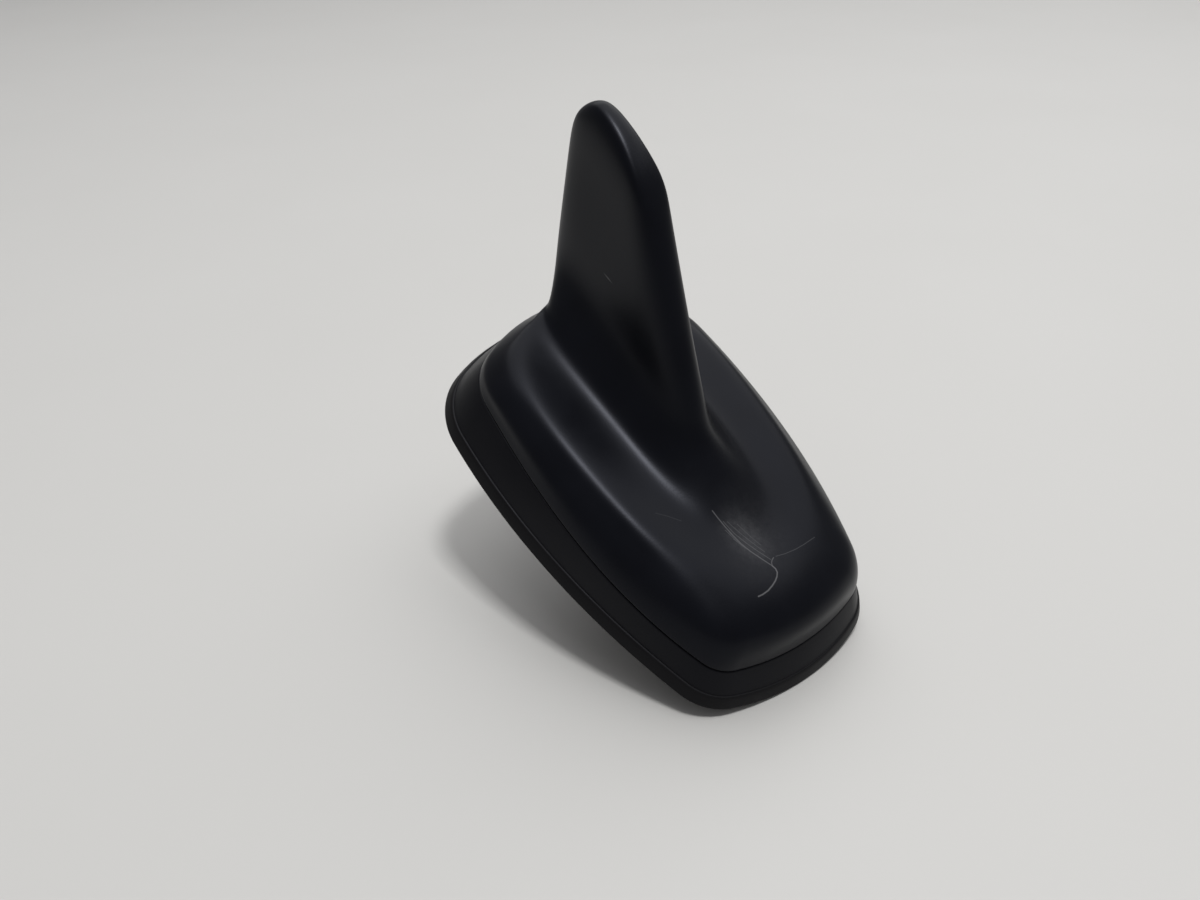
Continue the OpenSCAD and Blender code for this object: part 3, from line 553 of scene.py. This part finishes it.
# %% [markdown]
# ## Shared effects
#
# Wear and grain could be painted, but noise and distances stay sharp at any size and need no
# unwrapped surface. Three effects are shared, so each is a node group. "Moulded grain" is the
# faint orange peel and fine speckle of moulded plastic or rubber, and a slow cloud that varies
# its sheen. "Stroke" is the soft mark of one scratch between two points, seen from above.
# "Patch" is a soft oval, turned in the plan. All of them read Object coordinates, in metres.

# %% Node helpers
def new_group(name, inputs, outputs):
    """Empty shader group with (socket type, name, default) inputs and (type, name) outputs."""
    tree = bpy.data.node_groups.new(name, "ShaderNodeTree")
    for kind, label, default in inputs:
        socket = tree.interface.new_socket(label, in_out="INPUT", socket_type="NodeSocket" + kind)
        if default is not None:
            socket.default_value = default
    for kind, label in outputs:
        tree.interface.new_socket(label, in_out="OUTPUT", socket_type="NodeSocket" + kind)
    return tree, tree.nodes.new("NodeGroupInput"), tree.nodes.new("NodeGroupOutput")


def node(tree, kind, values=None, **settings):
    """Adds a node, sets its properties, and sets or links its inputs by name or number."""
    made = tree.nodes.new("ShaderNode" + kind)
    for key, value in settings.items():
        setattr(made, key, value)
    for key, value in (values or {}).items():
        if isinstance(value, bpy.types.NodeSocket):
            tree.links.new(value, made.inputs[key])
        else:
            made.inputs[key].default_value = value
    return made


def maths(tree, operation, *values, clamp=False):
    """Output of a math node on numbers or sockets."""
    made = node(tree, "Math", dict(enumerate(values)), operation=operation, use_clamp=clamp)
    return made.outputs[0]


def vectors(tree, operation, *values):
    """Output of a vector math node: a number for a length or product, or else a vector."""
    made = node(tree, "VectorMath", dict(enumerate(values)), operation=operation)
    return made.outputs["Value" if operation in ("DOT_PRODUCT", "DISTANCE", "LENGTH") else "Vector"]


def smooth(tree, value, start, stop, first=0.0, last=1.0):
    """Eased change from first to last while the value goes from start to stop."""
    made = node(tree, "MapRange", {0: value, 1: start, 2: stop, 3: first, 4: last},
                interpolation_type="SMOOTHSTEP")
    return made.outputs[0]


# %% Moulded grain
grain_tree, given, result = new_group(
    "moulded_grain",
    [("Vector", "Vector", None), ("Float", "Grain Scale", 3000.0), ("Float", "Cloud Scale", 60.0)],
    [("Float", "Height"), ("Float", "Cloud")])
place, grain_scale = given.outputs["Vector"], given.outputs["Grain Scale"]
fine = node(grain_tree, "TexNoise", {"Vector": place, "Scale": grain_scale, "Detail": 2.0})
peel_scale = maths(grain_tree, "MULTIPLY", grain_scale, 0.16)
peel = node(grain_tree, "TexNoise", {"Vector": place, "Scale": peel_scale, "Detail": 1.0})
height = maths(grain_tree, "MULTIPLY_ADD", peel.outputs[0], 0.5, fine.outputs[0])
cloud = node(grain_tree, "TexNoise",
             {"Vector": place, "Scale": given.outputs["Cloud Scale"], "Detail": 3.0})
grain_tree.links.new(height, result.inputs["Height"])
grain_tree.links.new(smooth(grain_tree, cloud.outputs[0], 0.35, 0.65), result.inputs["Cloud"])
print("nodes in", grain_tree.name + ":", len(grain_tree.nodes))

# %% Stroke
stroke_tree, given, result = new_group(
    "stroke",
    [("Vector", "Vector", None), ("Vector", "From", None), ("Vector", "To", None),
     ("Float", "Width", 0.0002)],
    [("Float", "Mask")])
start = given.outputs["From"]
ahead = vectors(stroke_tree, "SUBTRACT", given.outputs["To"], start)
away = vectors(stroke_tree, "SUBTRACT", given.outputs["Vector"], start)
away = vectors(stroke_tree, "MULTIPLY", away, (1, 1, 0))
dot = vectors(stroke_tree, "DOT_PRODUCT", away, ahead)
square = vectors(stroke_tree, "DOT_PRODUCT", ahead, ahead)
share = maths(stroke_tree, "DIVIDE", dot, square, clamp=True)
foot = node(stroke_tree, "VectorMath", {0: ahead, "Scale": share}, operation="SCALE")
gap = vectors(stroke_tree, "DISTANCE", away, foot.outputs[0])
mask = smooth(stroke_tree, gap, 0.0, given.outputs["Width"], 1.0, 0.0)
stroke_tree.links.new(mask, result.inputs["Mask"])
print("nodes in", stroke_tree.name + ":", len(stroke_tree.nodes))

# %% Patch
patch_tree, given, result = new_group(
    "patch",
    [("Vector", "Vector", None), ("Vector", "Centre", None), ("Float", "Turn", 0.0),
     ("Vector", "Reach", (0.01, 0.005, 1.0)), ("Float", "Core", 0.2)],
    [("Float", "Mask")])
local = vectors(patch_tree, "SUBTRACT", given.outputs["Vector"], given.outputs["Centre"])
spun = node(patch_tree, "VectorRotate", {"Vector": local, "Angle": given.outputs["Turn"]},
            rotation_type="Z_AXIS")
shares = vectors(patch_tree, "DIVIDE", spun.outputs[0], given.outputs["Reach"])
far = vectors(patch_tree, "LENGTH", shares)
mask = smooth(patch_tree, far, given.outputs["Core"], 1.0, 1.0, 0.0)
patch_tree.links.new(mask, result.inputs["Mask"])
print("node groups:", [tree.name for tree in bpy.data.node_groups])

# %% [markdown]
# ## Finishes
#
# Every finish is one Principled shader. Its colour and roughness drift with the slow cloud,
# and the grain raises a faint bump. A finish is made and given to its pieces in one call.

# %% Making and giving a finish
CLOUD_LIFT = 1.25        # how much lighter the colour is where the cloud is full
BUMP_HEIGHT = 0.0002


def plain_material(name, colour, roughness, metallic=0.0):
    """Material with one Principled shader, and its Object coordinates."""
    material = bpy.data.materials.new(name)
    material.use_nodes = True
    tree = material.node_tree
    shader = tree.nodes["Principled BSDF"]
    shader.inputs["Base Color"].default_value = (*colour, 1)
    shader.inputs["Roughness"].default_value = roughness
    shader.inputs["Metallic"].default_value = metallic
    place = tree.nodes.new("ShaderNodeTexCoord").outputs["Object"]
    return material, tree, shader, place


def use_group(tree, group, values):
    """Places a shared group in a material."""
    return node(tree, "Group", values, node_tree=group)


def mix_colour(tree, share, first, second):
    """Colour that goes from the first to the second with a share of 0 to 1."""
    return node(tree, "Mix", {0: share, 6: first, 7: second}, data_type="RGBA").outputs[2]


def dress(piece, material):
    """Gives a piece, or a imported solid, one material in every slot."""
    if not piece.data.materials:
        piece.data.materials.append(material)
    for slot_of in piece.material_slots:
        slot_of.material = material


def finish(pieces, name, colour, roughness, spread, scale=3000.0, bump=0.04, cloud_scale=60.0,
           metallic=0.0, level=0.5, sheen=(1.0, 1.0, 1.0)):
    """Moulded or cast finish for some pieces. The roughness drifts by the spread, and level and
    sheen are the strength and tint of the reflection. Returns what marks are added to."""
    material, tree, shader, place = plain_material(name, colour, roughness, metallic)
    shader.inputs["Specular IOR Level"].default_value = level
    shader.inputs["Specular Tint"].default_value = (*sheen, 1)
    scales = {"Vector": place, "Grain Scale": scale, "Cloud Scale": cloud_scale}
    grain = use_group(tree, grain_tree, scales)
    drift = grain.outputs["Cloud"]
    rough = node(tree, "MapRange", {0: drift, 3: roughness - spread, 4: roughness + spread})
    tree.links.new(rough.outputs[0], shader.inputs["Roughness"])
    tint = mix_colour(tree, drift, (*colour, 1), (*[min(1.0, c * CLOUD_LIFT) for c in colour], 1))
    tree.links.new(tint, shader.inputs["Base Color"])
    relief = node(tree, "Bump", {
        "Height": grain.outputs["Height"], "Strength": bump, "Distance": BUMP_HEIGHT})
    tree.links.new(relief.outputs[0], shader.inputs["Normal"])
    for piece in pieces:
        dress(piece, material)
    return tree, shader, place, tint


# %% [markdown]
# ## Black plastic, band and rubber
#
# The plastic is almost black. What one sees is its broad satin sheen, greyer towards the
# edges, and on the deck a scuffed place where many fine scratches scatter the light. The
# scuffs, with a haze round them and a nick on the fin, only raise the colour. Single scratches
# are drawn as strokes from bend to bend.

# %% Marks of wear
SCRATCHES = [  # x and y in mm of each bend, then width in mm and strength
    ([(17.8, -5.8), (19.7, -5.6), (21.9, -5.3), (24.3, -4.9), (26.7, -4.4), (28.9, -3.7),
      (31.1, -2.8), (32.8, -2.1), (33.7, -1.7)], 0.2, 0.5),
    ([(33.7, -1.7), (34.6, -1.5), (35.4, -1.7), (36.1, -2.4), (36.7, -3.4), (37.2, -4.7),
      (37.6, -6.2), (37.7, -7.8), (37.6, -8.9)], 0.24, 0.7),
    ([(33.7, -1.7), (33.1, -1.3), (32.7, -0.8), (32.4, -0.1)], 0.18, 0.5),
    ([(32.4, 0.6), (32.9, 2.9), (33.2, 5.7), (33.2, 8.3), (33.0, 11.8)], 0.14, 0.25),
    ([(20.8, -5.0), (23.9, -4.4), (26.9, -3.3), (30.3, -1.9), (32.4, -1.0)], 0.14, 0.35),
    ([(21.3, -4.2), (24.6, -3.1), (28.0, -1.8), (30.5, -0.9)], 0.14, 0.25),
    ([(22.6, -5.7), (25.6, -4.9), (28.4, -3.9)], 0.14, 0.3),
    ([(22.7, -2.5), (26.0, -1.5), (28.8, -0.6)], 0.14, 0.2),
    ([(24.9, -5.3), (27.8, -4.2), (30.6, -2.9)], 0.14, 0.3),
    ([(12.5, -17.0), (14.3, -14.9), (16.4, -13.0)], 0.14, 0.12),
]
SCUFFED, SCRATCHED = (0.045, 0.045, 0.048, 1), (0.16, 0.16, 0.165, 1)
HAZE_SHARE, NICK_SHARE = 0.45, 0.5
print("scratches:", len(SCRATCHES), "strokes:", sum(len(bends) - 1 for bends, _, _ in SCRATCHES))

# %% Cover's plastic
tree, shader, place, tint = finish(
    [cover, *bosses], "black_satin", (0.0026, 0.0029, 0.0045), 0.33, 0.02, 2600.0, 0.05, 70.0,
    level=0.15, sheen=(0.84, 0.87, 1.0))


def patch_mask(centre, angle, reach, core):
    """Mask of one soft oval on the cover."""
    values = {"Vector": place, "Centre": centre, "Turn": angle, "Reach": reach, "Core": core}
    return use_group(tree, patch_tree, values).outputs["Mask"]


scuff = patch_mask((0.0256, -0.0026, 0.019), -0.2, (0.009, 0.006, 0.02), 0.1)
haze = patch_mask((0.027, -0.001, 0.019), 0.4, (0.016, 0.012, 0.02), 0.0)
nick = patch_mask((-0.0317, -0.004, 0.0399), 0.0, (0.0019, 0.001, 0.00025), 0.2)
worn = maths(tree, "MULTIPLY_ADD", haze, HAZE_SHARE, scuff)
streaky = node(tree, "TexNoise", {"Vector": place, "Scale": 900.0, "Detail": 4.0, "Roughness": 0.7})
scuffs = maths(tree, "MULTIPLY", worn, streaky.outputs[0])
scratches = maths(tree, "MULTIPLY", nick, NICK_SHARE)
for bends, width, strength in SCRATCHES:
    for (x0, y0), (x1, y1) in zip(bends[:-1], bends[1:]):
        stroke = use_group(tree, stroke_tree, {
            "Vector": place, "From": (x0 * MM, y0 * MM, 0), "To": (x1 * MM, y1 * MM, 0),
            "Width": width * MM})
        faint = maths(tree, "MULTIPLY", stroke.outputs["Mask"], strength)
        scratches = maths(tree, "MAXIMUM", scratches, faint)
scratched = mix_colour(tree, scratches, mix_colour(tree, scuffs, tint, SCUFFED), SCRATCHED)
tree.links.new(scratched, shader.inputs["Base Color"])
print("nodes in the cover's material:", len(tree.nodes))

# %% Band, rubber and clip
matt = {"level": 0.15, "sheen": (0.88, 0.90, 1.0)}
finish([band], "band_satin", (0.0030, 0.0030, 0.0040), 0.42, 0.03, 2600.0, 0.08, **matt)
finish([seal], "seal_rubber", (0.0045, 0.0042, 0.0044), 0.50, 0.04, 2200.0, 0.12, **matt)
finish([bush], "bush_rubber", (0.010, 0.010, 0.010), 0.6, 0.04, 2200.0, 0.12)
finish([nodes["centring_clip"]], "clip_plastic", (0.012, 0.012, 0.012), 0.5, 0.04, 1800.0, 0.1)
print("materials:", len(bpy.data.materials))

# %% [markdown]
# ## Metal, boards and the rest of the inside
#
# Zinc on steel is a dull grey with soft spangles, so its cloud is coarse and its roughness
# wide. Everything inside keeps its solid and gets its own finish, seen or not, so that the
# part can be opened.

# %% Inner finishes
INNER = [  # solids, material, colour, roughness, spread, grain scale, bump, cloud scale, metallic
    (["base_plate"], "die_cast", (0.52, 0.52, 0.53), 0.5, 0.06, 900.0, 0.3, 120.0, 1.0),
    (["main_board", "fin_board"], "board_green", (0.012, 0.10, 0.035), 0.34, 0.04, 500.0, 0.08, 90.0),
    (["ceramic_patch"], "patch_ceramic", (0.60, 0.57, 0.49), 0.55, 0.05, 1500.0, 0.2, 150.0),
    (["patch_electrode"], "fired_silver", (0.72, 0.72, 0.70), 0.4, 0.08, 1800.0, 0.2, 200.0, 1.0),
    (["patch_pin", "shield_can"], "bright_tin",
     (0.66, 0.67, 0.68), 0.28, 0.06, 1200.0, 0.06, 200.0, 1.0),
    (["fin_radiator"], "copper_foil", (0.75, 0.36, 0.2), 0.34, 0.07, 1500.0, 0.1, 180.0, 1.0),
    (["board_bracket"], "natural_plastic", (0.62, 0.60, 0.55), 0.5, 0.04, 1800.0, 0.1),
    (["feed_spring", "coax_sockets"], "gold_flash",
     (0.78, 0.58, 0.25), 0.3, 0.05, 1500.0, 0.05, 200.0, 1.0),
    (["board_chips"], "chip_resin", (0.02, 0.02, 0.022), 0.5, 0.04, 2200.0, 0.15),
    (["foam_pad"], "foam", (0.03, 0.03, 0.03), 0.9, 0.04, 1200.0, 0.8),
    (["board_screws", "cover_screws"], "screw_zinc",
     (0.5, 0.5, 0.5), 0.35, 0.06, 1600.0, 0.08, 300.0, 1.0),
]
finish([stud, nut, washer], "zinc_steel", (0.46, 0.45, 0.42), 0.36, 0.08, 1400.0, 0.1, 260.0, 1.0)
for names, *values in INNER:
    finish([nodes[name] for name in names], *values)
print("materials:", len(bpy.data.materials))

# %% [markdown]
# ## The table
#
# The table is a pale, matt plane. Its back is clear, so views from below still see the part.

# %% Table
TABLE_SIZE = 6.0
TABLE_COLOUR, TABLE_DIM, TABLE_PALE = (
    (0.555, 0.549, 0.533), (0.545, 0.539, 0.522, 1), (0.568, 0.562, 0.547, 1))


def plane_mesh(name, centre, normal, size):
    """Square of four corners, centre +- size / 2 along two directions square to the normal."""
    normal = np.asarray(normal, float) / np.linalg.norm(normal)
    first = np.cross([0, 1, 0], normal)
    first /= np.linalg.norm(first)
    second = np.cross(normal, first)
    signs = ((-1, -1), (1, -1), (1, 1), (-1, 1))
    corners = [np.asarray(centre) + size / 2 * (a * first + b * second) for a, b in signs]
    mesh = bpy.data.meshes.new(name)
    mesh.from_pydata([tuple(c) for c in corners], [], [(0, 1, 2, 3)])
    made = bpy.data.objects.new(name, mesh)
    scene.collection.objects.link(made)
    return made


table = plane_mesh("table", table_up * table_level * MM, table_up, TABLE_SIZE)
table_finish, tree, shader, place = plain_material("table_white", TABLE_COLOUR, 0.55)
mottle = node(tree, "TexNoise", {"Vector": place, "Scale": 9.0, "Detail": 3.0})
shade = mix_colour(tree, mottle.outputs[0], TABLE_DIM, TABLE_PALE)
tree.links.new(shade, shader.inputs["Base Color"])
clear = node(tree, "BsdfTransparent")
side_of = node(tree, "NewGeometry")
both = node(tree, "MixShader", {
    0: side_of.outputs["Backfacing"], 1: shader.outputs[0], 2: clear.outputs[0]})
tree.links.new(both.outputs[0], tree.nodes["Material Output"].inputs["Surface"])
dress(table, table_finish)
print("table's level in mm:", round(table_level, 2))

# %% [markdown]
# ## Light
#
# The room's light is soft and comes mostly from above and behind: a dim world, a wide ceiling
# lamp, and one small key lamp whose reflection draws the long highlights on the plastic. The
# camera alone sees the world in the table's own pale grey, where a view passes its edge.

# %% Lamps
def lamp(name, direction, distance, size, power):
    """Square area lamp that faces the part from a direction in the part's frame."""
    direction = Vector(direction).normalized()
    data = bpy.data.lights.new(name, "AREA")
    data.shape, data.size, data.energy = "SQUARE", size, power
    made = bpy.data.objects.new(name, data)
    made.location = direction * distance
    made.rotation_mode = "QUATERNION"
    made.rotation_quaternion = direction.to_track_quat("Z", "Y")
    scene.collection.objects.link(made)
    print(name, "in metres:", round(size, 2), "watts:", power)


lamp("ceiling", (-0.6, 0.38, 0.66), 1.5, 2.3, 21.0)
lamp("key", (-0.26, 0.01, 0.96), 1.6, 0.26, 12.0)

# %% World
ROOM_GREY, SEEN_GREY = (0.25, 0.25, 0.255, 1), (0.63, 0.622, 0.605, 1)
world = bpy.data.worlds.new("room")
scene.world = world
world.use_nodes = True
tree = world.node_tree
back = tree.nodes["Background"]
back.inputs["Color"].default_value = ROOM_GREY
seen = node(tree, "Background", {"Color": SEEN_GREY})
path = node(tree, "LightPath")
choose = node(tree, "MixShader", {
    0: path.outputs["Is Camera Ray"], 1: back.outputs[0], 2: seen.outputs[0]})
tree.links.new(choose.outputs[0], tree.nodes["World Output"].inputs["Surface"])
scene.view_settings.view_transform = "Standard"
print("view:", scene.view_settings.view_transform)
